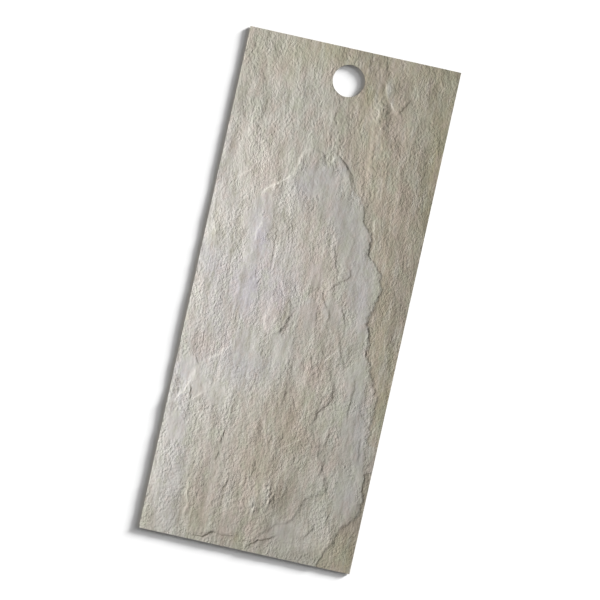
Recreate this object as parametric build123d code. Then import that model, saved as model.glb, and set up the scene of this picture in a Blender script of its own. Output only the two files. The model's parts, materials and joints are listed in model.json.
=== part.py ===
from build123d import *
import os

# Hanging sample of flexible stone veneer: one thin riven sheet with a punched hole.
#
# The sheet is a single piece. Its back is flat, because it is peeled off the slab on a coat of
# resin. Its face is split stone: a low layer, a main lamina that stands on it as a pointed tongue,
# and thinner flakes on top of that. Each lamina ends in a sloping ledge, short and steep where it
# broke and wide where it feathers out. The cut edges of the sheet and the hole trim them all.
#
# Frame: X across the sheet, Y along it towards the hole, Z up out of the riven face.
# The origin is in the middle of the back. All lengths are in millimetres.

# The cut sheet
sheet_width = 100.0
sheet_length = 238.0
low_layer_thickness = 1.2  # from the back to the lowest split layer

# The hanging hole
hole_diameter = 15.0
hole_from_end = 15.0  # from the end of the sheet to the middle of the hole

# The split layers
main_rise = 0.55  # main lamina above the low layer
broken_ledge_run = 0.5  # width of its slope along the side where it broke
feathered_ledge_run = 1.4  # width of its slope along the side where it thins out
flake_rise = 0.25  # upper flakes above the main lamina
flake_ledge_run = 0.35
trim_allowance = 6.0  # how far a lamina is drawn on past the edges that trim it
ledge_grid = 10.0  # pitch of the sketch grid that the ledges are drawn on

# Ledge lines in grid steps: across from the left edge, then down from the hole end
broken_ledge = [
    (5.25, 4.98), (5.85, 5.45), (6.20, 6.10), (6.75, 6.75), (7.12, 7.60), (7.60, 8.45),
    (7.64, 9.05), (8.10, 9.50), (8.46, 10.1), (8.52, 11.2), (8.30, 12.1), (8.52, 12.9),
    (8.62, 13.7), (8.95, 14.5), (9.34, 15.2), (9.52, 16.4), (9.74, 17.8),
]
corner_ledge = [
    (9.74, 19.1), (9.88, 20.2), (9.66, 21.3), (8.98, 22.2), (8.75, 22.9), (8.45, 23.5),
]
feathered_ledge = [
    (0.30, 17.7), (0.75, 16.6), (1.25, 15.5), (1.95, 15.0), (2.08, 13.6), (1.95, 11.6),
    (2.30, 9.50), (2.40, 8.50), (2.28, 7.40), (2.95, 6.70), (3.45, 6.15), (3.65, 5.20),
    (4.12, 4.88), (4.50, 5.02), (4.78, 5.50), (5.00, 5.28),
]
rounded_flake = [
    (3.75, 12.2), (4.20, 11.8), (4.58, 12.1), (4.72, 12.8), (4.50, 13.4), (4.05, 13.8),
    (3.62, 13.2),
]
lower_flake = [
    (5.90, 14.2), (6.60, 14.0), (7.20, 15.1), (7.43, 16.1), (6.95, 16.9), (7.00, 18.0),
    (7.90, 19.5), (8.05, 20.4), (7.15, 21.0), (6.90, 21.9), (6.10, 22.4), (5.20, 23.3),
    (3.80, 23.2), (2.20, 23.45), (1.85, 22.2), (1.85, 20.2), (2.90, 17.7), (4.80, 15.3),
]

left_edge = -sheet_width / 2
right_edge = sheet_width / 2
hole_end = sheet_length / 2
far_end = -sheet_length / 2
main_level = low_layer_thickness + main_rise
top_level = main_level + flake_rise
on_back = (Align.CENTER, Align.CENTER, Align.MIN)


def on_sheet(ledge):
    """The points of a ledge line, from grid steps to places on the sheet."""
    places = []
    for across, down in ledge:
        places.append(Vector(left_edge + across * ledge_grid, hole_end - down * ledge_grid))
    return places


def drawn_in(outline, ledge_runs):
    """The outline with each point moved inwards by its own run, square to the line beside it."""
    before = outline[-1:] + outline[:-1]
    after = outline[1:] + outline[:1]
    moved = []
    for point, last, following, run in zip(outline, before, after, ledge_runs):
        along = (following - last).normalized()
        moved.append(point + Vector(along.Y, -along.X) * run)
    return moved


def level_face(outline, level):
    """A flat face inside a smooth closed line."""
    return Plane.XY.offset(level) * Face(Wire(Spline(*outline, periodic=True)))


def lamina(outline, ledge_runs, foot_level, rise):
    """A split layer with a sloping ledge all round. Its outline runs clockwise."""
    foot = level_face(outline, foot_level)
    crest = level_face(drawn_in(outline, ledge_runs), foot_level + rise)
    return loft([foot, crest], ruled=True)


def main_lamina():
    """The tongue. Where it reaches an edge of the sheet it runs on past it, to be trimmed there."""
    broken = on_sheet(broken_ledge)
    corner = on_sheet(corner_ledge)
    feathered = on_sheet(feathered_ledge)
    across = [point.X for point in broken + corner + feathered]
    along = [point.Y for point in broken + corner + feathered]
    past_right = max(right_edge, *across) + trim_allowance
    past_left = min(left_edge, *across) - trim_allowance
    past_end = min(far_end, *along) - trim_allowance
    broken_side = [
        *broken,
        Vector(past_right, broken[-1].Y),
        Vector(past_right, corner[0].Y),
        *corner,
        Vector(corner[-1].X, past_end),
    ]
    feathered_side = [
        Vector(past_left, past_end),
        Vector(past_left, feathered[0].Y),
        *feathered,
    ]
    ledge_runs = [broken_ledge_run] * len(broken_side) + [feathered_ledge_run] * len(feathered_side)
    return lamina(broken_side + feathered_side, ledge_runs, low_layer_thickness, main_rise)


def flake(ledge):
    """A thin upper layer on the main lamina, broken off all round."""
    return lamina(on_sheet(ledge), [flake_ledge_run] * len(ledge), main_level, flake_rise)


def sheet():
    """The low layer with the split layers on it, trimmed by the cut edges and the hole."""
    low_layer = Box(sheet_width, sheet_length, low_layer_thickness, align=on_back)
    split_layers = main_lamina() + flake(rounded_flake) + flake(lower_flake)
    cut_edges = Box(sheet_width, sheet_length, top_level, align=on_back)
    hole = Pos(0, hole_end - hole_from_end, 0) * Cylinder(hole_diameter / 2, top_level, align=on_back)
    return low_layer + (split_layers & cut_edges) - hole


os.makedirs("parts", exist_ok=True)
export_step(sheet(), "parts/stone_veneer_sheet.step")
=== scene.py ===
import json
import math
import bpy
import numpy as np
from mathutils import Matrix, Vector
from mathutils.bvhtree import BVHTree


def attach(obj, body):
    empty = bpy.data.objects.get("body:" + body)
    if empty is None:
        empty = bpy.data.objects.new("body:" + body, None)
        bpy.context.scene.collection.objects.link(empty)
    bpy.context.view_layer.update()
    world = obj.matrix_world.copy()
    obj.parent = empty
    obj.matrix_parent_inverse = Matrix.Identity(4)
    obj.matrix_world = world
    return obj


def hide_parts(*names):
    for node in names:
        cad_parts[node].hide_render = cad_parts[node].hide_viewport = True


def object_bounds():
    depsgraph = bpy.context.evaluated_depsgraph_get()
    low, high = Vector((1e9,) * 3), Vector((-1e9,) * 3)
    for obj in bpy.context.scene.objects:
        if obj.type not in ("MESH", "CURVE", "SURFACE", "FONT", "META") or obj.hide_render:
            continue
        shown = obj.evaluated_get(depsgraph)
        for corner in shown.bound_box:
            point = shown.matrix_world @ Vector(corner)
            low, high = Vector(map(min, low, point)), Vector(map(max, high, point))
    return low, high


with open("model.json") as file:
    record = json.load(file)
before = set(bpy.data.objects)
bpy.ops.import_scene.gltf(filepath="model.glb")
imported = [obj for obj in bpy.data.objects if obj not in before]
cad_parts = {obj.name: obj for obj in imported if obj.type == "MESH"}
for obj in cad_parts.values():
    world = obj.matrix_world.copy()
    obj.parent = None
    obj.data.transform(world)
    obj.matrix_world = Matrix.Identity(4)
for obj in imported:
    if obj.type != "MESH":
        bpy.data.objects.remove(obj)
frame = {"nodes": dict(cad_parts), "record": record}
cadLow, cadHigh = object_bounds()
mm = 0.001
sheetNode = "stone_veneer_sheet"
sheetWide = (cadHigh.x - cadLow.x) / mm
sheetLong = (cadHigh.y - cadLow.y) / mm
holeMount = next(m for m in frame["record"]["mounts"] if m["name"] == "hanging_hole")
holeRadius = holeMount["dims"]["r_mm"]
holeAcross = holeMount["pos_m"][0] / mm + sheetWide / 2
holeDown = sheetLong / 2 - holeMount["pos_m"][1] / mm
print("frame loaded, sheet", round(sheetWide, 1), "x", round(sheetLong, 1), "mm")

# How the sheet lies in the picture. The stone's grain runs straight up it.
picture = {
    "turn": 12.575,  # degrees, clockwise
    "width": 277.75,  # mm of the sheet's plane across the whole picture
    "aim": (-0.01, 0.05),  # mm right of and above the middle of the sheet
    "lens": 200.0,  # mm
    "farthest": 50.0,  # m, the camera sees no farther
}
turn = math.radians(picture["turn"])
pictureRight = Vector((math.cos(turn), math.sin(turn), 0))
pictureUp = Vector((-math.sin(turn), math.cos(turn), 0))


# All places on the face are in mm: across from the left edge, down from the hole end
def ease(low, high, value):
    t = np.clip((value - low) / (high - low), 0, 1)
    return t * t * (3 - 2 * t)


def stoneNoise(across, down, seed, cells=256):
    # hills and hollows of about -1 to 1, one to each step of 1
    angles = np.random.default_rng(seed).uniform(0, 2 * math.pi, (cells, cells))
    leanA, leanD = np.cos(angles), np.sin(angles)
    cellA, cellD = np.floor(across).astype(int), np.floor(down).astype(int)
    inA, inD = across - cellA, down - cellD

    def corner(stepA, stepD):
        at = (cellA + stepA) % cells, (cellD + stepD) % cells
        return leanA[at] * (inA - stepA) + leanD[at] * (inD - stepD)

    def blended(t):  # flat at both ends, so that no cell shows
        return t ** 3 * (t * (t * 6 - 15) + 10)

    easeA, easeD = blended(inA), blended(inD)
    upper = corner(0, 0) + easeA * (corner(1, 0) - corner(0, 0))
    lower = corner(0, 1) + easeA * (corner(1, 1) - corner(0, 1))
    fullSwing = 1.5
    return fullSwing * (upper + easeD * (lower - upper))


def rolling(a, d, shape, seed):
    # noise with a height, and a length across and along the grain
    height, cellA, cellD = shape
    return height * stoneNoise(a / cellA, d / cellD, seed)


def alongGrain(across, down):
    a = across * math.cos(turn) - down * math.sin(turn)
    d = across * math.sin(turn) + down * math.cos(turn)
    return a, d


grainArc = {
    "middle": 75,  # mm down, where the grain runs straight up the picture
    "bend": 0.0008,  # mm aside for each mm from there, squared
    "straighter": (60, 90),  # below the middle the bend dies out over this stretch, mm across
}


def alongBentGrain(across, down):
    # the grain follows a wide arc
    a, d = alongGrain(across, down)
    below = down - grainArc["middle"]
    arc = grainArc["bend"] * below ** 2
    return a + arc * (1 - ease(*grainArc["straighter"], across) * (below > 0)), d


def softSpot(across, down, spot):
    # 1 in the middle of a spot, dying out over its reach across and along the grain
    a, d, reachA, reachD = spot
    shiftA, shiftD = alongGrain(across - a, down - d)
    return np.exp(-((shiftA / reachA) ** 2 + (shiftD / reachD) ** 2))


def strongestSpot(across, down, spots):
    strongest = np.zeros(len(across))
    for *spot, amount in spots:
        strongest = np.maximum(strongest, amount * softSpot(across, down, spot))
    return strongest


# The riven face, in mm. A share is given at places down the sheet, and a form comes in over a
# stretch across or down. Noise has a height, a length across and one along the grain.
rivenFace = {
    "pitch": 0.52,  # of the mesh
    "holeMargin": 4.5,  # rings of mesh go this far round the hole
    "holeRings": 12,
    "crisp": 24.0,  # edges bent more than this, in degrees, stay sharp
    "seed": 11,
    "lift": -0.16,  # sets the face down by about what the small forms add
    "solidFrom": 0.1,  # a level under this is the hole
    "lowPercent": 5,  # of the face lies under the low layer's level
    "mainRise": 0.55,  # of the main lamina in the solid
    "ledgeWander": (1.1, 5.0, 5.0),
    "ledgeJags": (1.1, 1.7),  # a finer wander and its length
    "jagShare": [(50, 0.4), (66, 0.5), (78, 1.0), (180, 1.0), (200, 0.5)],
    "brokenShare": [  # of the main ledge's rise, on its broken right side
        (48, 0.35), (58, 0.4), (64, 0.3), (78, 0.35), (83, 0.6), (92, 0.65), (97, 0.5), (118, 0.6),
        (136, 0.55), (142, 0.45), (164, 0.55), (178, 0.3), (188, 0.45), (192, 0.6), (216, 0.5), (238, 0.55),
    ],
    "featheredShare": [  # on its feathered left side
        (48, 0.45), (72, 0.45), (82, 0.3), (165, 0.3), (175, 0.4), (238, 0.5),
    ],
    "brokenFrom": (40, 56),  # across
    "flakeShare": [(136, 0.75), (146, 0.95), (168, 0.9), (195, 0.8), (238, 0.8)],  # of the flakes' rise
    "flakesShow": ((52, 66), (198, 214), (145, 138)),  # across, or down, or up
    "crispFrom": (42, 54),  # across, where the lamina's colour ends sharply
    "softShifts": (-8, -5, -2, 2, 5, 8),  # elsewhere it fades over these
    "softSlant": 0.6,
    "softWander": 3,  # times the ledges' wander
    "footShadeShifts": [(0.7, 0.5), (1.4, 0.25), (2.8, 0.25)],  # painted shade below a ledge, on the side away from the light: how far, how much
    "footShadeSlant": 0.4,
    "cleanEdge": (0.34, 0.62),  # how sharply a clean spot ends
    "cleanWander": (0.30, 4, 9),
    "cleanLamina": (0.1, 0.5),  # how much lamina a clean spot needs on the right
    "cleanRight": (40, 50),  # across
    "calm": 0.22,  # what is left of the grain where the lamina split cleanly
    "patch": (1, 7, 17),  # patches of rougher grain
    "patchEdge": (-0.3, 0.35),
    "roughness": (0.6, 0.6, 0.35),  # everywhere, in the patches and in the rough spots
    "quietSpot": (30, 105, 24, 60),
    "quiet": 0.25,  # how much less grain it has
    "bend": (1.1, 9, 14),  # the grain isn't quite straight
    "grain": [(1.45, 2.8, 0.055), (2.9, 8.5, 0.07), (5.8, 21.0, 0.13)],  # across, along, height
    "lean": 0.30,  # how far the crests of the grain lean to the right
    "hollowDeep": 0.12,  # grain this deep gets the full painted shade of a hollow
    "folds": [(11.0, 34.0, 0.10), (19.0, 48.0, 0.06)],  # wide soft swells: across, along, height
    "scales": [(9.0, 24.0, 2.0, 0.10), (3.6, 10.0, 1.7, 0.06)],  # across, along, edges to a swell, height
    "scaleWander": [(0.40, 2.4, 5), (0.22, 1.1, 1.8)],
    "scaleEdge": 0.86,  # the edge of a scale takes up the rest of it
    "scaleTilt": 0.7,
    "scaleCalm": 0.25,  # what is left of the scales where there is no grain
    "lowBrown": (30, 80),  # across, where the low layer turns brown
    "cleanBlue": 0.22,  # how blue a clean spot is
    "spotRagged": (0.3, 6, 13),  # the edges of the spots of colour
    "spotSeed": 71,
}
cleanSpots = [  # where the stone split cleanly along a lamina
    (46, 64, 12, 8), (53, 72, 6, 8), (69, 84, 8, 16), (76, 106, 7, 16), (25, 79, 5, 6), (23, 89, 8, 8),
    (24, 101, 6, 8), (24, 119, 6, 12), (31, 146, 8, 12), (46, 142, 6, 9), (55, 124, 5, 8), (66, 121, 5, 7),
    (81, 122, 4, 12), (84, 150, 5, 14), (86, 176, 6, 14), (90, 203, 6, 14), (66, 225, 7, 5),
    (7, 161, 7, 7), (13, 168, 5, 6), (55, 106, 4, 7), (62, 76, 6, 9), (65, 92, 5, 8), (91, 180, 4, 18),
    (7, 189, 5, 9), (21, 171, 5, 6),
]
roughSpots = [  # where it broke across the grain
    (8, 22, 8, 20), (89, 58, 11, 18), (20, 52, 8, 13), (8, 130, 6, 8), (55.5, 209, 4, 7), (49, 216.5, 3, 5),
]
# Small ledges of the face: rise, fade and points, walked with the high side at the right hand
lips = {
    "bumpDrop": (0.18, 3, [(44.4, 49.2), (46, 51), (47.2, 53.2), (48.3, 55.6)]),
    "tongueRise": (0.16, 6, [(48.5, 55.4), (50, 53.2), (51.5, 50.8), (52.4, 49.6)]),
    "tipDrop": (0.26, 4, [(52.4, 49.2), (55.4, 51.9), (58.5, 55), (60.3, 57), (63, 62.3)]),
    "bumpRise": (0.2, 5, [(35.2, 60), (35.6, 56), (36, 53), (37.2, 50.8), (39.5, 49.6), (42, 49.1)]),
    "shoulderRise": (0.34, 9, [(22.2, 75.5), (22.7, 72.8), (25, 70.4), (29.5, 67), (32, 65), (34.8, 61.5)]),
    "innerRise": (0.18, 7, [(24.2, 97.5), (23, 93.6), (24, 90), (25.2, 86)]),
    "grooveDrop": (0.2, 3, [(31.8, 86), (32.3, 90), (32.6, 96), (33, 103), (33.2, 108)]),
    "grooveRise": (0.13, 4, [(34.6, 109), (34.2, 102), (33.8, 95)]),
    "edgeRise": (0.16, 5, [(4.8, 98), (3.9, 94.5), (3.3, 91)]),
    "sideRise": (0.14, 5, [(9.4, 70.2), (11, 67.4), (13.6, 65.4), (16.8, 63.2)]),
    "crackDrop": (0.2, 2, [(48.2, 29.6), (47.3, 32.4), (47, 35.2)]),
    "wedgeRise": (0.28, 8, [(75.2, 25.6), (72, 22), (69, 18), (66.6, 11.5)]),
    "crepeDropOne": (0.17, 3, [(57.3, 2.5), (58.2, 6.5), (58.9, 10.5)]),
    "crepeDropTwo": (0.16, 3, [(61.6, 2), (62.4, 5.5), (63, 9)]),
    "crepeDropThree": (0.15, 3, [(65.4, 4), (66, 7), (66.4, 10)]),
    "wedgeDrop": (0.26, 6, [(80, 17.5), (77.6, 21.8), (75.4, 25.6)]),
    "furrowRise": (0.2, 6, [(77.4, 91), (78.4, 86.5), (76.4, 81), (75.4, 74)]),
    "slitDrop": (0.16, 4, [(61, 92), (61.6, 95.5), (62.4, 99), (62.8, 102)]),
    "hookDrop": (0.2, 6, [(66.8, 98.7), (69.6, 100.4), (70.5, 102.6), (69.6, 104.7), (66.3, 106.8),
                          (64, 109.2), (62.1, 111.6), (60.5, 112.9)]),
    "stepTwo": (0.24, 5, [(59.4, 112.2), (59.9, 115.4), (61.1, 117.9), (63.2, 120.5)]),
    "stepThree": (0.2, 4, [(64.1, 120), (64.7, 123), (64.3, 126.5)]),
    "stepFour": (0.2, 4, [(69.6, 118.6), (71, 121.6), (72.2, 125)]),
    "curlDrop": (0.13, 3, [(46.8, 124.5), (46.9, 127), (46.4, 130), (45.2, 132.8), (43.4, 135.2),
                           (41, 136.9)]),
    "curlRise": (0.04, 6, [(39.5, 136.4), (37, 134.7), (35.4, 131), (35, 127.6)]),
    "stepFive": (0.17, 5, [(70.8, 130), (72.2, 134), (73.4, 138.6), (75, 142), (76.6, 145.6)]),
    "stepFiveRise": (0.3, 5, [(67.4, 143.8), (69.2, 141.2), (71.4, 138.8)]),
    "stepSix": (0.18, 4, [(60.2, 142), (61, 145), (62.2, 150)]),
    "stripDrop": (0.18, 3, [(81.6, 146.6), (82.8, 150), (83.3, 154), (83, 160), (82.8, 166), (83.4, 171)]),
    "flakeDrop": (0.16, 5, [(72.2, 152.6), (73.6, 156), (74.6, 160.5), (72.8, 163.4), (70.4, 166),
                            (68.8, 169), (68.4, 173.5)]),
    "lowDropOne": (0.22, 4, [(76.9, 174), (76.4, 178), (75.8, 183.4)]),
    "lowDropTwo": (0.2, 4, [(72.2, 178), (73.2, 183), (73.9, 188)]),
    "lowDropThree": (0.2, 4, [(77.4, 187.6), (77.2, 190.4), (76.4, 194.7), (76.4, 197.8)]),
    "lowDropFour": (0.18, 4, [(78.4, 195.6), (78.8, 198), (79.6, 200.6), (80.9, 203)]),
    "stripLowDrop": (0.18, 4, [(91, 174), (91.5, 179), (92, 183), (92.7, 188)]),
    "ridgeRise": (0.22, 5, [(56.6, 187.8), (60, 185), (65, 180.8)]),
    "hollowDrop": (0.2, 4, [(8, 153.6), (8.8, 156), (10.8, 158.4)]),
    "hollowRise": (0.15, 8, [(13.2, 156), (16, 153.6), (19.8, 151), (20.6, 146)]),
    "tickDrop": (0.28, 3, [(9, 167.6), (9.4, 171), (9.9, 175.4)]),
    "cornerRiseOne": (0.24, 4, [(2.9, 178), (3.6, 175.8), (5, 173.4), (6.6, 171.8), (7.4, 168.6),
                                (8.8, 164.8)]),
    "cornerRiseTwo": (0.16, 5, [(6, 180.5), (7.4, 178.6), (9.3, 176.4)]),
    "cornerRiseThree": (0.26, 4, [(10.6, 175.6), (12.6, 172.8), (15.8, 170.3)]),
    "greenRise": (0.08, 8, [(21, 234), (19.8, 231.5), (19.2, 226), (19, 221), (17.4, 216), (16.3, 211.4),
                            (15.2, 204), (15.6, 198)]),
    "notchOne": (0.26, 2, [(28.8, 184.5), (28.5, 188), (28.2, 192)]),
    "notchTwo": (0.24, 2, [(28.3, 194.8), (27.8, 199.6)]),
    "notchThree": (0.2, 3, [(52.2, 160.5), (52.6, 165), (51.8, 169)]),
    "notchFour": (0.18, 3, [(35.6, 203), (35.2, 208), (34, 213)]),
    "notchFive": (0.18, 3, [(45.6, 195), (45.8, 200), (44.8, 206)]),
    "footDropRight": (0.34, 4, [(63.4, 227.4), (60, 229.6), (57.6, 231), (55, 231.8), (52, 234.2),
                                (48.8, 236.7)]),
    "footDropLeft": (0.36, 5, [(43, 232.2), (38, 232.9), (34, 232.3), (32.4, 233.2), (30, 235.4),
                               (25, 235.8), (20.8, 234.8)]),
    "fanDrop": (0.2, 4, [(79.4, 219.2), (77.8, 221.8), (76.5, 224.5), (75.2, 226.8)]),
}
# Gentle ramps of the face: rise, run, fade and points, walked the same way
ramps = {
    "cornerSlope": (0.18, 6, 22, [(-2, 184), (8, 168), (20, 154), (31, 141)]),
    "middleFall": (0.22, 3, 10, [(53, 155), (51, 170), (48, 187)]),
    "flakeFall": (0.22, 3, 10, [(64, 139), (62, 156), (60, 173)]),
    "lowFall": (0.28, 4, 14, [(61, 197), (59, 214), (55, 231)]),
    "tongueSlope": (0.16, 2.5, 10, [(29, 84), (27, 74), (29, 64)]),
    "edgeSlope": (0.2, 2.5, 10, [(6, 104), (4.5, 93), (5, 83)]),
    "leftSlope": (0.18, 3, 12, [(13, 60), (11, 47), (13, 33)]),
    "wedgeSlope": (0.34, 2.5, 8, [(69, 64), (67.5, 44), (66.8, 26), (66, 14)]),
    "middleSlope": (0.22, 3, 12, [(46, 127), (43.5, 113), (42, 99)]),
    "wedgeFall": (0.34, 2.5, 9, [(68.5, 14), (70, 25), (71.5, 37)]),
    "crepeOne": (0.16, 1.5, 2.5, [(58.6, 11), (57.6, 1)]),
    "crepeTwo": (0.16, 1.5, 2.5, [(65.2, 11), (64.4, 1)]),
    "crepeThree": (0.18, 2, 3, [(81.5, 46), (82.5, 32), (81.5, 22)]),
    "crepeFour": (0.16, 2, 3, [(60.5, 56), (59.5, 44), (60, 34)]),
    "crepeFive": (0.16, 2, 3, [(76, 62), (76.5, 50), (75.5, 40)]),
    "upperFall": (0.22, 3, 10, [(53, 26), (52, 38), (52, 50)]),
    "upperSlope": (0.16, 3, 12, [(46, 56), (45, 42), (47, 28)]),
    "bumpFall": (0.16, 4, 12, [(48, 65), (49, 76), (52, 88)]),
    "lowSlope": (0.14, 3, 10, [(31, 220), (29, 206), (31, 195)]),
    "footFall": (0.18, 3, 10, [(50, 211), (47, 224), (44, 235)]),
    "rightSlope": (0.12, 2.5, 8, [(96, 213), (95, 200), (97, 189)]),
}
bumps = [  # place, reach and height
    (43.8, 181.2, 1.3, 3.0, 0.34), (49.4, 216.8, 2.1, 4.4, 0.50), (55.4, 211.0, 2.6, 6.8, 0.46),
    (59.6, 207, 3.0, 6.0, 0.24), (41.2, 113, 1.1, 1.5, 0.34), (50.4, 209.5, 1.2, 3.0, 0.22),
    (26.4, 114.2, 0.7, 0.7, -0.14), (29.1, 117.6, 0.7, 0.7, -0.14), (27.5, 126.7, 0.7, 0.7, -0.14),
    (16.5, 188, 1.6, 3.4, 0.22), (26.6, 211.5, 0.7, 2.0, -0.14),
]
crumbs = [  # patches of small broken grains: place, reach and height
    (55.0, 210.6, 2.6, 6.4, 0.36), (49.4, 216.8, 1.8, 3.8, 0.24), (66, 220, 2.0, 3.0, 0.22),
    (29.6, 220.8, 1.3, 2.6, 0.26), (41.2, 113.4, 1.5, 2.2, 0.30),
]
# Where the stone changes colour: place and reach, then how much
warmSpots = {
    "brown": [
        (46, 202, 22, 32, 0.9), (58, 176, 13, 26, 0.9), (94, 232, 7, 12, 0.9), (70, 14, 24, 18, 0.3),
        (66, 150, 9, 14, 0.5), (20, -4, 40, 20, 0.3), (60.6, 208.5, 3, 6, 1.0), (77, 12, 4, 6, 0.6),
    ],
    "straw": [
        (84, 16, 20, 34, 0.7), (66, 34, 10, 30, 0.4), (40, 2, 40, 14, 0.5), (88, 70, 8, 40, 0.4),
        (98, 24, 10, 50, 0.7), (90, 228, 12, 10, 0.5), (25, 226, 7, 9, 0.5),
    ],
    "green": [
        (103, 60, 12, 90, 0.9), (101, 160, 8, 60, 0.7), (60, -1, 44, 6, 0.4), (94, 8, 10, 20, 0.5),
        (60, 17, 4, 7, 0.7), (56, 4, 8, 5, 0.4), (19, 220, 4, 16, 0.6), (45, 233, 4, 3, 0.7),
        (98, 228, 5, 9, 0.7), (4, 232, 5, 6, 0.5),
    ],
    "pink": [
        (20, 61, 11, 14, 0.7), (12, 149, 6, 8, 0.8), (41, 127, 5, 8, 0.7), (47, 92, 8, 20, 0.5),
        (56, 104, 8, 18, 0.6), (64, 152, 5, 8, 0.6), (46, 180, 12, 16, 0.25), (26, 210, 7, 18, 0.4),
        (85, 62, 6, 50, 0.45), (50, 226, 5, 7, 0.6), (18, 20, 6, 9, 0.3),
    ],
}
coolSpots = {  # with the pale and the dark spots, over the blotches
    "lilac": [
        (25, 92, 7, 18, 0.8), (24, 119, 9, 18, 0.95), (40, 66, 8, 7, 0.5), (77, 112, 5, 16, 0.4),
        (30, 142, 9, 8, 0.4), (8, 110, 14, 80, 0.5), (34, 108, 15, 30, 0.55), (4, 190, 8, 50, 0.5),
    ],
    "blue": [
        (47, 62, 11, 9, 0.45), (56, 56, 3.5, 4, 0.5), (62, 78, 8, 14, 0.65), (72, 92, 7, 22, 0.4),
        (38, 71, 7, 8, 0.6), (27, 156, 24, 10, 0.75), (4, 170, 7, 24, 0.75), (6, 205, 8, 28, 0.75),
        (90, 172, 5, 24, 0.6), (91, 200, 5, 12, 0.5), (65, 226, 6, 5, 0.5), (3, 104, 6, 34, 0.7),
    ],
    # partly paler stone, and partly painted highlight on a lit ridge, a lit facet and the lit left sides of
    # two pebbles
    "pale": [
        (4, 92, 7, 13, 0.85), (36, 80, 6, 16, 0.9), (22, 166, 8, 16, 0.6), (3, 204, 8, 34, 0.75),
        (84, 14, 18, 26, 0.2), (34, 20, 6, 14, 0.4), (14, 6, 8, 8, 0.4), (84, 222, 6, 8, 0.5),
        (13, 74, 5, 40, 0.6), (34, 92, 4, 12, 0.85), (4, 126, 6, 14, 0.6), (33, 22, 4, 12, 0.6),
        (35, 210, 5, 10, 0.5), (85, 26, 8, 18, 0.4), (14, 92, 6, 12, 0.5), (34, 143, 5, 9, 0.5),
        (16, 58, 8, 8, 0.6), (15, 180, 6, 14, 0.6), (74, 228, 8, 8, 0.7), (15, 42, 6, 9, 0.45),
        (25, 42, 5, 9, 0.4), (15, 25, 5, 8, 0.3), (35, 25, 4, 8, 0.3), (75, 145, 4, 8, 0.4),
        (35, 161, 4, 8, 0.3), (14, 195, 5, 8, 0.4), (12, 214, 4, 16, 0.45), (75, 212, 5, 9, 0.45),
        (69.3, 15, 1.5, 4, 0.95), (71.8, 20.5, 1.2, 3.5, 0.7), (54.6, 211.4, 2.4, 6.5, 0.95),
        (49.2, 216.6, 1.8, 3.8, 0.85), (66.3, 27, 1.5, 8, 0.45),
    ],
    # partly darker stone, and partly painted shade beside ledges at the lower right, along a furrow and at a
    # pebble's right side
    "shade": [
        (97, 84, 7, 70, 0.5), (96, 112, 6, 34, 0.75), (4, 36, 5, 22, 0.32), (62, 190, 8, 16, 0.25),
        (55, 164, 8, 14, 0.22), (60, 210, 9, 16, 0.4), (25, 212, 7, 26, 0.3), (66, 140, 7, 10, 0.24),
        (86, 184, 5, 14, 0.3), (55, 190, 6, 12, 0.5), (62, 228, 8, 8, 0.3), (62, 90, 10, 14, 0.2),
        (25, 228, 6, 9, 0.45), (45, 176, 6, 9, 0.3), (25, 194, 5, 8, 0.3), (56, 3, 7, 7, 0.35),
        (15, 124, 6, 9, 0.25), (12, 148, 5, 6, 0.4), (40, 226, 8, 8, 0.3), (55, 131, 6, 8, 0.25),
        (4, 72, 4, 12, 0.25), (71.7, 13.6, 1.8, 3.5, 0.6), (70.6, 24, 2, 5, 0.55),
        (79.4, 4.5, 2.5, 4, 0.3), (95, 143, 4, 9, 0.7), (96, 126, 4, 8, 0.9), (95, 25, 4, 8, 0.23),
        (25, 77, 5, 8, 0.18), (46, 76, 5, 8, 0.23), (63, 13, 3.5, 7, 0.45), (98.5, 195, 2.5, 12, 0.6),
        (98, 211, 3, 8, 0.6), (95, 221, 3.5, 7, 0.4), (51.8, 218.4, 1.2, 3.2, 0.3),
        (74.4, 79, 1.2, 6, 0.5), (76.4, 87, 1.2, 4, 0.5),
    ],
}


def cadLevel(across, down):
    # the height of the CAD sheet under each point, felt from above
    node = frame["nodes"][sheetNode]
    tree = BVHTree.FromPolygons([v.co for v in node.data.vertices], [p.vertices for p in node.data.polygons])
    below, above = Vector((0, 0, -1)), cadHigh.z + mm
    inset = 0.01
    xs = np.clip(across, inset, sheetWide - inset) * mm + cadLow.x
    ys = cadHigh.y - np.clip(down, inset, sheetLong - inset) * mm
    levels = np.zeros(len(xs))
    for i, (x, y) in enumerate(zip(xs, ys)):
        hit = tree.ray_cast(Vector((x, y, above)), below)[0]
        levels[i] = hit.z / mm if hit else 0
    return levels


# The line of a small ledge or a ramp, in mm
lipShape = {
    "run": 0.24,  # a small ledge climbs over this before its line
    "runAfter": 0.4,  # and over this share of it after
    "fades": 3,  # it has died out this many fades away
    "taper": 0.22,  # share of the length over which each end sinks
    "endRise": 0.15,  # what is left at the ends
    "wander": (0.40, 1.5, 1.8),
    "rampWander": 4,  # times that wander
    "wanderFree": 0.3,  # the rise fades where the line strays farther
    "wanderFade": 0.6,
    "leftFacing": 0.5,  # how much a stretch walked to the left faces right
    "farAway": 9.0,
    "tintReach": 1.2,  # of the painted highlight and painted shade beside the line
    "tint": 2.5,  # for a mm of rise
    "tintSpan": 2,
    "bumpNoise": (0.7, 1.3, 1.4),
    "crumbNoise": (1, 1.15, 1.3),
}


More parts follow.
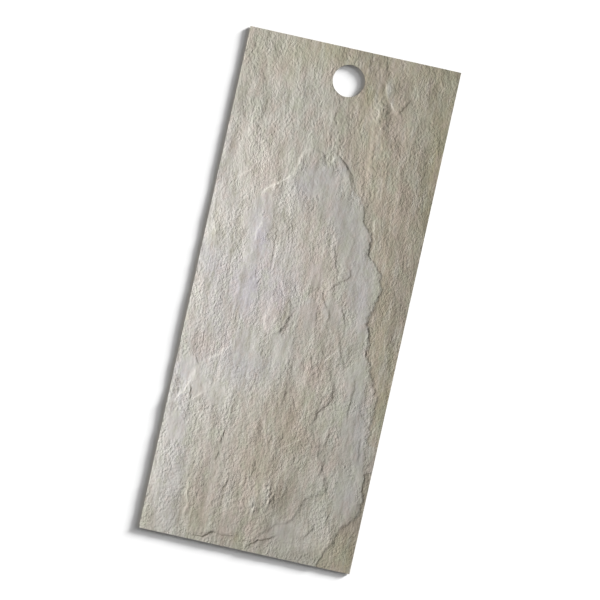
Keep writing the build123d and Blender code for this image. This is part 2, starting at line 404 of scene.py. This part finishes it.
def lipHeight(across, down, wander, rise, run, fade, points):
    # a small ledge: its height, how far each place is from its line, and how it faces
    shape = lipShape
    line = np.array(points, float)
    margin = shape["fades"] * fade
    near = (across > line[:, 0].min() - margin) & (across < line[:, 0].max() + margin)
    near &= (down > line[:, 1].min() - margin) & (down < line[:, 1].max() + margin)
    spot = np.stack([across[near], down[near]], 1)
    best = np.full(len(spot), np.inf)
    side, place, lee = np.zeros((3, len(spot)))
    lengths = np.linalg.norm(np.diff(line, axis=0), axis=1)
    walked = np.concatenate([[0], np.cumsum(lengths)])
    for start, end, length, before in zip(line[:-1], line[1:], lengths, walked):
        way = (end - start) / length
        out = spot - start
        held = np.clip(out @ way, 0, length)
        gap = np.linalg.norm(out - held[:, None] * way, axis=1)
        better = gap < best
        best[better] = gap[better]
        side[better] = (way[0] * out[:, 1] - way[1] * out[:, 0])[better]
        place[better] = (before + held)[better]
        # how far a stretch faces away from the light at the left, for the painted highlight and shade
        lee[better] = way[1] + shape["leftFacing"] * max(-way[0], 0)
    signed = np.where(side > 0, best, -best) + wander[near]
    share = place / walked[-1]
    ends = ease(0, shape["taper"], share) * ease(0, shape["taper"], 1 - share)
    taper = ends * (1 - shape["endRise"]) + shape["endRise"]
    slope = ease(-run, run * shape["runAfter"], signed) * np.exp(-np.clip(signed, 0, None) / fade)
    strayed = np.clip(best - np.abs(signed) - shape["wanderFree"], 0, None)
    kept = np.exp(-strayed / shape["wanderFade"])
    height, facing = np.zeros((2, len(across)))
    away = np.full(len(across), shape["farAway"])
    height[near] = rise * slope * taper * kept
    facing[near] = rise * lee * taper * kept
    away[near] = signed
    return height, away, facing


def shareDown(down, name):
    return np.interp(down, *zip(*rivenFace[name]))


def brokenLedges(across, down, a, d):
    # the solid's own layers with broken edges: their level, the main lamina, and the painted shade on the
    # low side of a ledge, away from the light
    look = rivenFace
    seed, rise = look["seed"], look["mainRise"]
    wanderA = rolling(a, d, look["ledgeWander"], seed)
    jag, jagCell = look["ledgeJags"]
    jagged = jag * shareDown(down, "jagShare")
    wanderA += jagged * stoneNoise(a / jagCell, d / jagCell, seed + 1)
    wanderD = rolling(a, d, look["ledgeWander"], seed + 2)
    layers = cadLevel(across + wanderA, down + wanderD)
    lowLevel = np.percentile(layers[layers > look["solidFrom"]], look["lowPercent"])
    main = np.clip(layers - lowLevel, 0, rise)
    flake = np.clip(layers - lowLevel - rise, 0, None)
    onRight, atFoot, atHead = look["flakesShow"]
    flake *= np.maximum(np.maximum(ease(*onRight, across), ease(*atFoot, down)), ease(*atHead, down))
    flake *= shareDown(down, "flakeShare")
    broken = shareDown(down, "brokenShare")
    feathered = shareDown(down, "featheredShare")
    share = feathered + (broken - feathered) * ease(*look["brokenFrom"], across)
    level = lowLevel + look["lift"] + main * share + flake

    soft = np.zeros(len(across))
    for shift in look["softShifts"]:  # the feathered side changes colour slowly
        besideA = across + shift + look["softWander"] * wanderA
        besideD = down + look["softSlant"] * shift + look["softWander"] * wanderD
        over = (cadLevel(besideA, besideD) - lowLevel) / rise
        soft += np.clip(over, 0, 1) / len(look["softShifts"])
    lamina = soft + (main / rise - soft) * ease(*look["crispFrom"], across)
    footShade = np.zeros(len(across))
    # painted shade where a higher layer lies to the left and up, towards the light
    for shift, amount in look["footShadeShifts"]:
        beside = cadLevel(across + wanderA - shift, down + wanderD - look["footShadeSlant"] * shift)
        footShade += amount * np.clip((beside - layers) / rise, 0, 1) * share
    return level, lamina, footShade


def splitStone(across, down, a, d, lamina):
    # how cleanly the stone split, and how rough that leaves it
    look = rivenFace
    seed = look["seed"]
    clean = strongestSpot(across, down, [(*spot, 1) for spot in cleanSpots])
    smooth = ease(*look["cleanEdge"], clean + rolling(a, d, look["cleanWander"], seed + 3))
    smooth *= 1 - (1 - ease(*look["cleanLamina"], lamina)) * ease(*look["cleanRight"], across)
    patch = ease(*look["patchEdge"], rolling(a, d, look["patch"], seed + 7))
    coarse = strongestSpot(across, down, [(*spot, 1) for spot in roughSpots])
    plain, patchy, broken = look["roughness"]
    rough = (1 - (1 - look["calm"]) * smooth) * (plain + patchy * patch + broken * coarse)
    return smooth, rough


def grainForms(a, d):
    # the grain, the folds and the scales of the stone
    look = rivenFace
    seed = look["seed"]
    bent = a + rolling(a, d, look["bend"], seed + 4)
    grain, folds, scales = np.zeros((3, len(a)))
    for i, (cellA, cellD, height) in enumerate(look["grain"]):
        place = bent / cellA
        crest = stoneNoise(place, d / cellD, seed + 10 + i)
        grain += height * stoneNoise(place - look["lean"] * crest, d / cellD, seed + 10 + i)
    for i, (cellA, cellD, height) in enumerate(look["folds"]):
        folds += rolling(bent, d, (height, cellA, cellD), seed + 20 + i)
    for i, (cellA, cellD, count, height) in enumerate(look["scales"]):
        swell = rolling(bent, d, (count, cellA, cellD), seed + 30 + 5 * i)
        for j, wander in enumerate(look["scaleWander"]):
            swell += rolling(a, d, wander, seed + 31 + 5 * i + j)
        whole = np.floor(swell)
        edge = ease(look["scaleEdge"], 1.0, swell - whole)
        scales += height * (whole + edge - look["scaleTilt"] * swell)
    return grain, folds, scales


def smallForms(across, down, a, d):
    # the small ledges, ramps, bumps and crumbs, with the nearest ledge's line and how it faces
    shape = lipShape
    seed = rivenFace["seed"]
    wander = rolling(a, d, shape["wander"], seed + 5)
    small, facing = np.zeros((2, len(across)))
    lipAway = np.full(len(across), shape["farAway"])
    for rise, fade, points in lips.values():
        height, away, faces = lipHeight(across, down, wander, rise, shape["run"], fade, points)
        small += height
        closer = np.abs(away) < np.abs(lipAway)
        lipAway[closer] = away[closer]
        facing[closer] = (faces * np.exp(-(away / shape["tintReach"]) ** 2))[closer]
    for rise, run, fade, points in ramps.values():
        small += lipHeight(across, down, shape["rampWander"] * wander, rise, run, fade, points)[0]
    uneven = 1 + rolling(a, d, shape["bumpNoise"], seed + 6)
    grains = rolling(a, d, shape["crumbNoise"], seed + 8)
    for spots, noise in ((bumps, uneven), (crumbs, grains)):
        for *spot, height in spots:
            small += height * softSpot(across, down, spot) * noise
    return small, lipAway, facing


def rivenRelief(across, down):
    look = rivenFace
    a, d = alongBentGrain(across, down)
    level, lamina, footShade = brokenLedges(across, down, a, d)
    smooth, rough = splitStone(across, down, a, d, lamina)
    wave = rough * (1 - look["quiet"] * softSpot(across, down, look["quietSpot"]))
    grain, folds, scales = grainForms(a, d)
    small, lipAway, facing = smallForms(across, down, a, d)
    calm = look["scaleCalm"]
    level += wave * grain + (calm + (1 - calm) * wave) * scales + folds + small
    tint, span = lipShape["tint"], lipShape["tintSpan"]
    fields = {
        "rough": rough,
        # painted shade in the hollows of the grain
        "hollow": np.clip(-grain / look["hollowDeep"], -1, 1),
        "footShade": footShade,
        "lipAway": np.clip(lipAway, -span, span),
        # painted highlight where a small ledge faces the light, painted shade where it faces away
        "lipHighlight": np.clip(-facing * tint, 0, 1),
        "lipShade": np.clip(facing * tint, 0, 1),
    }
    return level, lamina, smooth, fields


def spotted(across, down, spots):
    # how strongly some spots of colour show, with ragged edges
    a, d = alongBentGrain(across, down)
    total = strongestSpot(across, down, spots)
    ragged = rolling(a, d, rivenFace["spotRagged"], rivenFace["spotSeed"])
    return np.clip(total + ragged * np.sqrt(total), 0, 1)


def ringOf(top, left, bottom, right, middle, index):
    # the border of a block of the grid, from the middle of its top, leftwards round
    cells = [(top, c) for c in range(middle, left, -1)] + [(r, left) for r in range(top, bottom)]
    cells += [(bottom, c) for c in range(left, right)] + [(r, right) for r in range(bottom, top, -1)]
    cells += [(top, c) for c in range(right, middle, -1)]
    return np.array([index[cell] for cell in cells])


def layOutFace():
    # a square grid, with rings round the hole in place of a block of it
    pitch = rivenFace["pitch"]
    columns = 2 * round(sheetWide / pitch / 2)
    rows = round(sheetLong / pitch)
    half = round((holeRadius + rivenFace["holeMargin"]) / pitch)
    middle, centre = columns // 2, round(holeDown / sheetLong * rows)
    top, bottom, left, right = centre - half, centre + half, middle - half, middle + half
    grid = np.ones((rows + 1, columns + 1), bool)
    grid[top + 1:bottom, left + 1:right] = False
    index = np.full(grid.shape, -1)
    index[grid] = np.arange(grid.sum())
    down, across = np.nonzero(grid)
    across = across * sheetWide / columns
    down = down * sheetLong / rows

    cell = np.ones((rows, columns), bool)
    cell[top:bottom, left:right] = False
    r, c = np.nonzero(cell)
    quads = [np.stack([index[r, c], index[r + 1, c], index[r + 1, c + 1], index[r, c + 1]], 1)]
    outer = ringOf(0, 0, rows, columns, middle, index)
    block = ringOf(top, left, bottom, right, middle, index)

    ringCount = rivenFace["holeRings"]
    angle = np.arange(len(block)) / len(block) * 2 * math.pi
    rimA, rimD = holeAcross - holeRadius * np.sin(angle), holeDown - holeRadius * np.cos(angle)
    rings = []
    for step in range(ringCount):
        t = step / ringCount
        rings.append(len(across) + np.arange(len(block)))
        across, down = (np.concatenate([across, rimA * (1 - t) + across[block] * t]),
                        np.concatenate([down, rimD * (1 - t) + down[block] * t]))
    rings.append(block)
    for inner, outerRing in zip(rings[:-1], rings[1:]):
        quads.append(np.stack([inner, outerRing, np.roll(outerRing, -1), np.roll(inner, -1)], 1))
    return across, down, np.concatenate(quads), outer, rings[0]


# The saw-cut edges, the hole's wall and the flat back
cutEdges = {
    "levels": (0.70, 0.36, 0.0),  # rows of points down the wall, as shares of its height
    "sawMarks": 0.05,  # mm deep
    "sawNoise": (2.3, 4),  # points to a mark, marks to a mm of height
    "sawSeed": 90,
    "arris": 0.02,  # mm, the very edge lies lower
    "wear": 0.08,  # mm, the long edges are worn down
    "wearRun": 2.0,  # mm in from them
}
faceKind, wallKind, backKind = range(3)  # in the order of the finishes

# The flat layout for baking, in shares of its side
bakeLayout = {
    "edge": 0.01,
    "long": 0.98,  # the length of the sheet
    "backRight": 0.847,  # the back is turned over, and goes left from here
    "strips": {"left": 0.862, "right": 0.892, "ends": 0.922, "hole": 0.952},
    "endGap": 1.1,  # sheet widths from one end to the other
    "holeStart": 0.02,
    "thick": 0.007,  # a mm of height in a strip
    "near": 0.4,  # mm, a wall this near to an edge belongs to it
}


def layOutForBaking(mesh, points, faces, kinds):
    # the front and the back side by side, the cut edges and the hole's wall as strips beside them
    plan = bakeLayout
    edge, near = plan["edge"], plan["near"]
    grow = plan["long"] / sheetLong
    corners = np.concatenate(faces)
    kind = np.repeat(kinds, [len(f) for f in faces])
    a, d, z = points[corners].T
    right = edge + a * grow
    up = 1 - edge - d * grow
    back = kind == backKind
    right[back] = plan["backRight"] - a[back] * grow
    wall = np.nonzero(kind == wallKind)[0].reshape(-1, 4)
    middleA, middleD = a[wall].mean(1), d[wall].mean(1)
    angle = np.arctan2(a - holeAcross, d - holeDown)[wall]
    angle += 2 * math.pi * (angle < angle.max(1, keepdims=True) - math.pi)
    fromHole = np.hypot(middleA - holeAcross, middleD - holeDown)
    roundHole = plan["holeStart"] + (angle + math.pi) * holeRadius * grow
    strips = [
        (middleA < near, "left", up[wall]),
        (middleA > sheetWide - near, "right", up[wall]),
        (middleD < near, "ends", edge + a[wall] * grow),
        (middleD > sheetLong - near, "ends", edge + (a[wall] + plan["endGap"] * sheetWide) * grow),
        (fromHole < holeRadius + near, "hole", roundHole),
    ]
    for where, strip, along in strips:
        right[wall[where]] = plan["strips"][strip] + z[wall[where]] * plan["thick"]
        up[wall[where]] = along[where]
    layer = mesh.uv_layers.new(name="OFBake")
    layer.data.foreach_set("uv", np.stack([right, up], 1).ravel().astype(np.float32))


def cutWalls(across, down, level, outer, rim):
    # the points of the whole sheet, its walls, and the lowest row of points of each wall
    points = [np.stack([across, down, level], 1)]
    count = len(across)
    walls = []
    low = {}
    pointsToMark, marksToMm = cutEdges["sawNoise"]
    for name, loop in (("outer", outer), ("rim", rim)):
        above = loop
        size = len(loop)
        for share in cutEdges["levels"]:
            height = level[loop] * share
            a, d = across[loop], down[loop]
            under = count + np.arange(size)
            if name == "outer":
                saw = stoneNoise(np.arange(size) / pointsToMark, height * marksToMm, cutEdges["sawSeed"])
                marks = cutEdges["sawMarks"] * (0.5 + 0.5 * saw) * (0 < share < 1)
                a, d = np.clip(a, marks, sheetWide - marks), np.clip(d, marks, sheetLong - marks)
                walls.append(np.stack([above, under, np.roll(under, -1), np.roll(above, -1)], 1))
            else:
                walls.append(np.stack([above, np.roll(above, -1), np.roll(under, -1), under], 1))
            points.append(np.stack([a, d, height], 1))
            count += size
            above = under
        low[name] = above
    return np.concatenate(points), np.concatenate(walls), low


def backHalves(points, low):
    # the flat back in two halves, cut along the middle, so that the hole stays open
    outer, rim = low["outer"], low["rim"]
    rimHalf = len(rim) // 2
    # the grid's columns are even, but its rows needn't be, so the bottom middle is looked up
    aside = np.abs(points[outer, 0] - sheetWide / 2)
    aside[points[outer, 1] < sheetLong / 2] = np.inf
    bottom = int(np.argmin(aside))
    left = np.concatenate([outer[:bottom + 1], rim[rimHalf::-1]])[::-1]
    right = np.concatenate([outer[bottom:], outer[:1], rim[:1], rim[:rimHalf - 1:-1]])[::-1]
    return [left, right]


def allFields(points, lamina, smooth, fields):
    # what the finishes read at each point of the mesh
    a, d = points[:, 0], points[:, 1]
    pad = np.zeros(len(points) - len(lamina))  # the walls have none of the face's own
    fields = {name: np.concatenate([values, pad]) for name, values in fields.items()}
    for name, spots in (*warmSpots.items(), *coolSpots.items()):
        fields[name] = spotted(a, d, spots)
    lowLayer = np.concatenate([1 - lamina, pad]) * ease(*rivenFace["lowBrown"], a)
    fields["brown"] = np.clip(fields["brown"] + lowLayer, 0, 1)
    clean = rivenFace["cleanBlue"] * np.concatenate([smooth, pad])
    fields["blue"] = np.maximum(fields["blue"], clean)
    return fields


def newObject(name, data):
    thing = bpy.data.objects.new(name, data)
    bpy.context.scene.collection.objects.link(thing)
    return thing


def buildSheet():
    across, down, quads, outer, rim = layOutFace()
    print("face laid out,", len(across), "points")
    level, lamina, smooth, fields = rivenRelief(across, down)
    print("relief from", round(level.min(), 2), "to", round(level.max(), 2), "mm")
    for loop in (outer, rim):
        level[loop] -= cutEdges["arris"]
    edgeAway = np.minimum(across, sheetWide - across)
    level -= cutEdges["wear"] * (1 - ease(0, cutEdges["wearRun"], edgeAway))
    points, walls, low = cutWalls(across, down, level, outer, rim)
    backs = backHalves(points, low)

    mesh = bpy.data.meshes.new("riven_stone_sheet")
    places = np.stack([points[:, 0] * mm + cadLow.x, cadHigh.y - points[:, 1] * mm, points[:, 2] * mm], 1)
    faces = [list(map(int, face)) for face in (*quads, *walls, *backs)]
    mesh.from_pydata(places.tolist(), [], faces)
    counts = [len(quads), len(walls), len(backs)]
    kinds = np.repeat([faceKind, wallKind, backKind], counts).astype(np.int32)
    mesh.polygons.foreach_set("material_index", kinds)
    mesh.polygons.foreach_set("use_smooth", kinds == faceKind)
    for name, values in allFields(points, lamina, smooth, fields).items():
        mesh.attributes.new(name, "FLOAT", "POINT").data.foreach_set("value", values.astype(np.float32))
    layOutForBaking(mesh, points, faces, kinds)
    mesh.validate()
    mesh.update()
    mesh.set_sharp_from_angle(angle=math.radians(rivenFace["crisp"]))
    print("sheet built,", sum(len(face) - 2 for face in faces), "triangles")
    return newObject("riven_stone_sheet", mesh)


def srgb(red, green, blue):
    linear = []
    for value in (red, green, blue):
        v = value / 255
        linear.append(v / 12.92 if v <= 0.04045 else ((v + 0.055) / 1.055) ** 2.4)
    return (*linear, 1.0)


def newMaterial(name):
    material = bpy.data.materials.new(name)
    material.use_nodes = True
    tree = material.node_tree
    shader = tree.nodes["Principled BSDF"]
    return material, tree, shader


def addNode(tree, kind, **values):
    node = tree.nodes.new(kind)
    for name, value in values.items():
        if name in node.inputs:
            node.inputs[name].default_value = value
        else:
            setattr(node, name, value)
    return node


def mixColour(tree, amount, first, second):
    node = tree.nodes.new("ShaderNodeMix")
    node.data_type = "RGBA"
    for socket, value in zip((node.inputs[0], node.inputs[6], node.inputs[7]), (amount, first, second)):
        if isinstance(value, bpy.types.NodeSocket):
            tree.links.new(value, socket)
        else:
            socket.default_value = value
    return node.outputs[2]


def field(tree, name):
    return addNode(tree, "ShaderNodeAttribute", attribute_name=name).outputs["Fac"]


def ranged(tree, value, fromLow, fromHigh, toLow, toHigh):
    node = tree.nodes.new("ShaderNodeMapRange")
    tree.links.new(value, node.inputs["Value"])
    limits = {"From Min": fromLow, "From Max": fromHigh, "To Min": toLow, "To Max": toHigh}
    for name, number in limits.items():
        node.inputs[name].default_value = number
    return node.outputs["Result"]


def ownPlace(tree):
    return addNode(tree, "ShaderNodeTexCoord").outputs["Object"]


def noiseTexture(tree, cells, detail, fineShare, turned):
    # cells to a metre each way
    mapping = addNode(tree, "ShaderNodeMapping", Rotation=(0, 0, turned), Scale=cells)
    tree.links.new(ownPlace(tree), mapping.inputs["Vector"])
    noise = addNode(tree, "ShaderNodeTexNoise", Scale=1.0, Detail=detail, Roughness=fineShare)
    tree.links.new(mapping.outputs["Vector"], noise.inputs["Vector"])
    return noise.outputs["Fac"]


def grainTexture(tree, scale, stretch, detail, fineShare=0.6):
    # noise along the grain of the stone
    return noiseTexture(tree, (scale, scale * stretch, scale), detail, fineShare, -turn)


def times(tree, first, second):
    node = addNode(tree, "ShaderNodeMath", operation="MULTIPLY")
    tree.links.new(first, node.inputs[0])
    tree.links.new(second, node.inputs[1])
    return node.outputs[0]


def lineAlong(tree, strength, stops):
    # a thin line beside a small ledge, with stops in mm from it
    start, full, fade, end = stops
    away = field(tree, "lipAway")
    line = times(tree, ranged(tree, away, start, full, 0, 1), ranged(tree, away, fade, end, 1, 0))
    return times(tree, line, field(tree, strength))


def addBump(tree, shader, height, depth):
    bump = addNode(tree, "ShaderNodeBump", Distance=depth)
    tree.links.new(height, bump.inputs["Height"])
    tree.links.new(bump.outputs["Normal"], shader.inputs["Normal"])
    return bump


stoneColours = {
    "grey": srgb(174, 172, 163),
    "brown": srgb(168, 158, 142),
    "straw": srgb(183, 174, 148),
    "pink": srgb(184, 169, 159),
    "lilac": srgb(172, 167, 175),
    "blue": srgb(169, 167, 170),
    "green": srgb(157, 151, 122),
    "moss": srgb(168, 170, 150),
    "pale": srgb(192, 189, 181),
    "shade": srgb(140, 133, 121),
    # painted shade in the grain's hollows and beside ledges, and darker streaks at random
    "hollow": srgb(132, 125, 110),
    "crest": srgb(204, 201, 193),
    # painted highlight along small ledges that face the light, and painted shade below those that face away
    "broken": srgb(204, 201, 192),
    "ledgeShade": srgb(118, 111, 97),
}

# A texture is cells to a metre, stretch along the grain and detail. A tint is a colour, the
# texture's value where it is full, and its share there.
stoneFinish = {
    "blotch": ((150, 0.5, 4.0), [("pink", 0.75, 0.8), ("moss", 0.25, 0.8)]),
    "fleck": ((420, 0.6, 3.0), [("pink", 0.75, 0.4), ("moss", 0.25, 0.45)]),
    "streak": ((460, 0.18, 4.0), [("hollow", 0.8, 0.6), ("crest", 0.2, 0.5)]),
    "hollowFrom": 0.1,
    "hollowShare": 0.35,
    "footShadeShare": 0.45,
    "highlightLine": (-0.15, 0.0, 0.15, 0.45),  # mm from a small ledge
    "shadeLine": (-0.5, -0.25, -0.05, 0.1),
    "roughness": (0.78, 0.95),
    "specular": 0.25,
    "grit": (1000, 0.7, 4.0),
    "gritDepth": 0.0008,
    "gritStrength": (0.15, 1.0),  # on smooth and on the roughest stone
    "roughest": 1.3,
}
middleValue, lowValue, highValue = 0.5, 0.3, 0.7  # of a noise texture


def mottle(tree, name):
    # one colour in the high places of a texture and another in its low ones
    texture, tints = stoneFinish[name]
    noise = grainTexture(tree, *texture)
    return noise, [(tint, ranged(tree, noise, middleValue, full, 0, share)) for tint, full, share in tints]


def rivenStone():
    look = stoneFinish
    material, tree, shader = newMaterial("riven_stone")
    link = tree.links.new
    blotches, flecks = mottle(tree, "blotch")[1], mottle(tree, "fleck")[1]
    streak, streaks = mottle(tree, "streak")
    # painted shade in the hollows of the grain, in the hollow colour
    hollow = ranged(tree, field(tree, "hollow"), look["hollowFrom"], 1, 0, look["hollowShare"])
    # painted shade beside the ledges, in the hollow colour
    footShade = ranged(tree, field(tree, "footShade"), 0, 1, 0, look["footShadeShare"])
    tints = [(name, field(tree, name)) for name in warmSpots] + blotches
    tints += [(name, field(tree, name)) for name in coolSpots] + flecks + streaks
    tints += [("hollow", hollow), ("hollow", footShade)]
    # a painted highlight along the small ledges that face the light, and painted shade below those that face
    # away from it, to the right
    tints += [("broken", lineAlong(tree, "lipHighlight", look["highlightLine"]))]
    tints += [("ledgeShade", lineAlong(tree, "lipShade", look["shadeLine"]))]
    colour = stoneColours["grey"]
    for name, shown in tints:
        colour = mixColour(tree, shown, colour, stoneColours[name])
    link(colour, shader.inputs["Base Color"])
    link(ranged(tree, streak, lowValue, highValue, *look["roughness"]), shader.inputs["Roughness"])
    shader.inputs["Specular IOR Level"].default_value = look["specular"]
    bump = addBump(tree, shader, grainTexture(tree, *look["grit"]), look["gritDepth"])
    strength = ranged(tree, field(tree, "rough"), 0.0, look["roughest"], *look["gritStrength"])
    link(strength, bump.inputs["Strength"])
    return material


cutFinish = {
    "stone": (srgb(90, 84, 72), srgb(134, 127, 115)),
    "resin": (srgb(116, 105, 83), srgb(146, 136, 113)),
    "layers": ((90, 90, 3800), 4.0, 0.5),  # cells to a metre, detail and its share
    "cloud": (700, 1.0, 3.0),
    "resinTop": 0.00045,  # m above the back
    "blendTop": 1.15,  # the stone is full at this many times that
    "roughness": (0.5, 0.9),  # resin, stone
    "bump": 0.5,
    "bumpDepth": 0.0001,
}


def cutStone():
    # stone in thin layers above a line of resin
    look = cutFinish
    material, tree, shader = newMaterial("cut_stone")
    link = tree.links.new
    height = addNode(tree, "ShaderNodeSeparateXYZ")
    link(ownPlace(tree), height.inputs["Vector"])
    layers = noiseTexture(tree, *look["layers"], turned=0)
    stone = mixColour(tree, ranged(tree, layers, lowValue, highValue, 0, 1), *look["stone"])
    resin = mixColour(tree, grainTexture(tree, *look["cloud"]), *look["resin"])
    bounds = (look["resinTop"], look["resinTop"] * look["blendTop"])
    colour = mixColour(tree, ranged(tree, height.outputs["Z"], *bounds, 0, 1), resin, stone)
    link(colour, shader.inputs["Base Color"])
    link(ranged(tree, height.outputs["Z"], *bounds, *look["roughness"]), shader.inputs["Roughness"])
    bump = addBump(tree, shader, layers, look["bumpDepth"])
    bump.inputs["Strength"].default_value = look["bump"]
    return material


backFinish = {
    "ground": (srgb(176, 168, 150), srgb(146, 138, 122)),  # resin, and stone showing through
    "thread": srgb(206, 200, 184),
    "threadPitch": 0.0011,  # m
    "waveLength": 0.314,  # of a wave texture at scale 1
    "distortion": 0.6,
    "distortionScale": 0.4,
    "weave": (0.2, 0.8),
    "weaveShare": 0.5,
    "cloud": (70, 0.8, 5.0),
    "stoneShows": (0.35, 0.7),
    "roughness": (0.38, 0.55),
    "bump": 0.4,
    "bumpDepth": 0.00008,
}


def resinBack():
    # woven glass fibre drowned in resin, with the stone showing through in clouds
    look = backFinish
    material, tree, shader = newMaterial("resin_back")
    link = tree.links.new
    place = ownPlace(tree)
    threads = []
    for axis in ("X", "Y"):
        wave = addNode(tree, "ShaderNodeTexWave", bands_direction=axis, Distortion=look["distortion"])
        wave.inputs["Scale"].default_value = look["waveLength"] / look["threadPitch"]
        wave.inputs["Detail Scale"].default_value = look["distortionScale"]
        link(place, wave.inputs["Vector"])
        threads.append(wave.outputs["Fac"])
    weave = mixColour(tree, 0.5, *threads)
    cloud = grainTexture(tree, *look["cloud"])
    ground = mixColour(tree, ranged(tree, cloud, *look["stoneShows"], 0, 1), *look["ground"])
    shown = ranged(tree, weave, *look["weave"], 0, look["weaveShare"])
    link(mixColour(tree, shown, ground, look["thread"]), shader.inputs["Base Color"])
    link(ranged(tree, cloud, lowValue, highValue, *look["roughness"]), shader.inputs["Roughness"])
    bump = addBump(tree, shader, weave, look["bumpDepth"])
    bump.inputs["Strength"].default_value = look["bump"]
    return material


sheet = buildSheet()
for finish in (rivenStone(), cutStone(), resinBack()):
    sheet.data.materials.append(finish)
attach(sheet, "root")
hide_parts(sheetNode)
print("finishes on")

# A pale floor, a softbox at the left for the stone, and two soft lights from the upper right for
# the floor's shadow. Lengths are in m, angles in degrees.
studio = {
    "floorColour": (0.7, 0.7, 0.7, 1.0),
    "floorSize": 8.0,
    "floorGap": 0.0003,  # under the sheet
    "floorRoughness": 0.9,
    "keyTowards": (-0.961, 0.276),  # right and up in the picture
    "keyElevation": 27.0,
    "keyDistance": 0.48,
    "keySize": 0.13,
    "keySpread": 100.0,
    "keyAim": (-0.045, -0.010, 0.0),
    "keyPower": 1.35,
    "shadowLights": [  # right and up in the picture, elevation, spread, strength
        ((0.888, 0.46), 12.4, 12.0, 13.0),
        ((0.94, 0.34), 20.0, 40.0, 3.5),
    ],
    "shadowDistance": 2.0,
    "ambient": 0.26,
}


def inPicture(towards, elevation):
    flat = (pictureRight * towards[0] + pictureUp * towards[1]).normalized()
    rise = math.radians(elevation)
    return flat * math.cos(rise) + Vector((0, 0, math.sin(rise)))


def addLamp(name, kind, towards, distance, receiver, aim=(0, 0, 0)):
    light = bpy.data.lights.new(name, kind)
    lamp = newObject(name, light)
    lamp.location = towards * distance
    lamp.rotation_mode = "QUATERNION"
    lamp.rotation_quaternion = (lamp.location - Vector(aim)).to_track_quat("Z", "Y")
    group = bpy.data.collections.new(name + "_on")  # it lights nothing else
    group.objects.link(receiver)
    lamp.light_linking.receiver_collection = group
    return light


def buildFloor():
    half = studio["floorSize"] / 2
    z = cadLow.z - studio["floorGap"]
    mesh = bpy.data.meshes.new("floor")
    corners = [(-half, -half, z), (half, -half, z), (half, half, z), (-half, half, z)]
    mesh.from_pydata(corners, [], [(0, 1, 2, 3)])
    floor = newObject("floor", mesh)
    material, tree, shader = newMaterial("pale_floor")
    shader.inputs["Base Color"].default_value = studio["floorColour"]
    shader.inputs["Roughness"].default_value = studio["floorRoughness"]
    shader.inputs["Specular IOR Level"].default_value = 0.0
    mesh.materials.append(material)
    return floor


def buildWorld():
    world = bpy.data.worlds.new("studio")
    world.use_nodes = True
    bpy.context.scene.world = world
    tree = world.node_tree
    ground = tree.nodes["Background"]
    ground.inputs["Color"].default_value = (1, 1, 1, 1)
    ray = addNode(tree, "ShaderNodeLightPath")
    seen = ray.outputs["Is Camera Ray"]
    for kind in ("Is Glossy Ray", "Is Transmission Ray"):  # reflections show the same white
        either = addNode(tree, "ShaderNodeMath", operation="MAXIMUM")
        tree.links.new(seen, either.inputs[0])
        tree.links.new(ray.outputs[kind], either.inputs[1])
        seen = either.outputs[0]
    strength = ranged(tree, seen, 0, 1, studio["ambient"], 1.0)
    tree.links.new(strength, ground.inputs["Strength"])


floor = buildFloor()
buildWorld()
keyPlace = inPicture(studio["keyTowards"], studio["keyElevation"])
key = addLamp("key_softbox", "AREA", keyPlace, studio["keyDistance"], sheet, studio["keyAim"])
key.shape = "SQUARE"
key.size = studio["keySize"]
key.spread = math.radians(studio["keySpread"])
key.energy = studio["keyPower"]
for towards, elevation, spread, strength in studio["shadowLights"]:
    shadow = addLamp("shadow_light", "SUN", inPicture(towards, elevation), studio["shadowDistance"], floor)
    shadow.angle = math.radians(spread)
    shadow.energy = strength
print("studio set")

camera = newObject("camera", bpy.data.cameras.new("camera"))
camera.data.lens = picture["lens"]
reach = picture["width"] * mm / camera.data.sensor_width * camera.data.lens
aim = (pictureRight * picture["aim"][0] + pictureUp * picture["aim"][1]) * mm
camera.location = aim + Vector((0, 0, reach + cadHigh.z))
camera.rotation_euler = (0, 0, turn)
camera.data.clip_end = picture["farthest"]
bpy.context.scene.camera = camera
bpy.context.scene.view_settings.view_transform = "Standard"
print("camera set")
